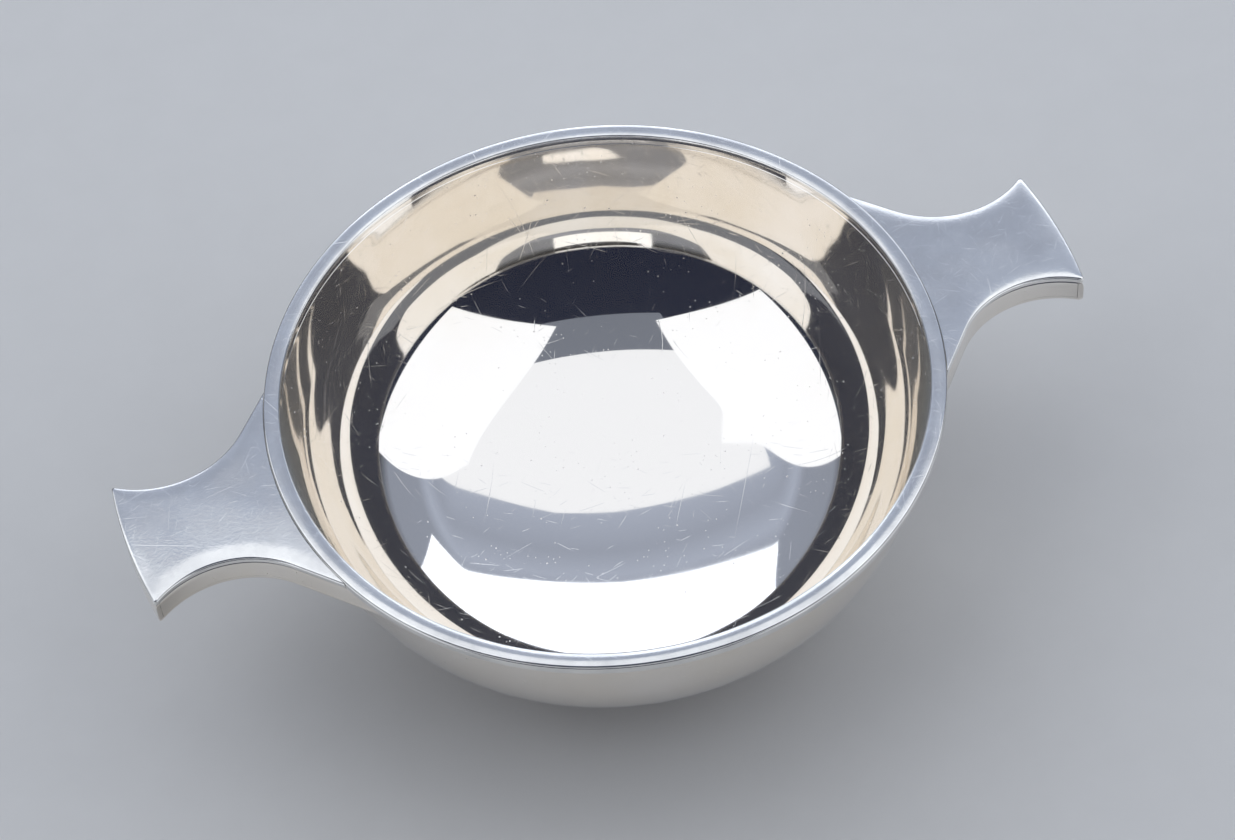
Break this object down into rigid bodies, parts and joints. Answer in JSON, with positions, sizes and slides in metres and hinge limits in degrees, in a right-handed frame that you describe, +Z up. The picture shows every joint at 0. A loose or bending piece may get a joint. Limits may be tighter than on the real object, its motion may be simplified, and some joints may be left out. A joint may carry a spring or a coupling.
{
  "type": "two-lugged bowl",
  "caption": "Round silver drinking bowl with an applied rim, a collet foot and two flat hollow lugs level with the rim.",
  "frame": {"origin": "centre of the foot, on the surface that the bowl stands on", "axes": "+Z up out of the bowl's mouth, +X along the two lugs, +Y towards the back"},
  "size_m": [0.1752, 0.12, 0.0493],
  "materials": {
    "polished_silver": "hand-polished silver with fine scratches",
    "satin_silver": "satin silver with fine polishing marks"
  },
  "bodies": {
    "root": {"bowl": "polished_silver", "rim": "satin_silver", "foot": "polished_silver", "right_lug_top": "satin_silver", "right_lug_back_side": "polished_silver", "right_lug_front_side": "polished_silver", "right_lug_end": "polished_silver", "right_lug_floor": "polished_silver", "left_lug_top": "satin_silver", "left_lug_front_side": "polished_silver", "left_lug_back_side": "polished_silver", "left_lug_end": "polished_silver", "left_lug_floor": "polished_silver"}
  },
  "joints": []
}
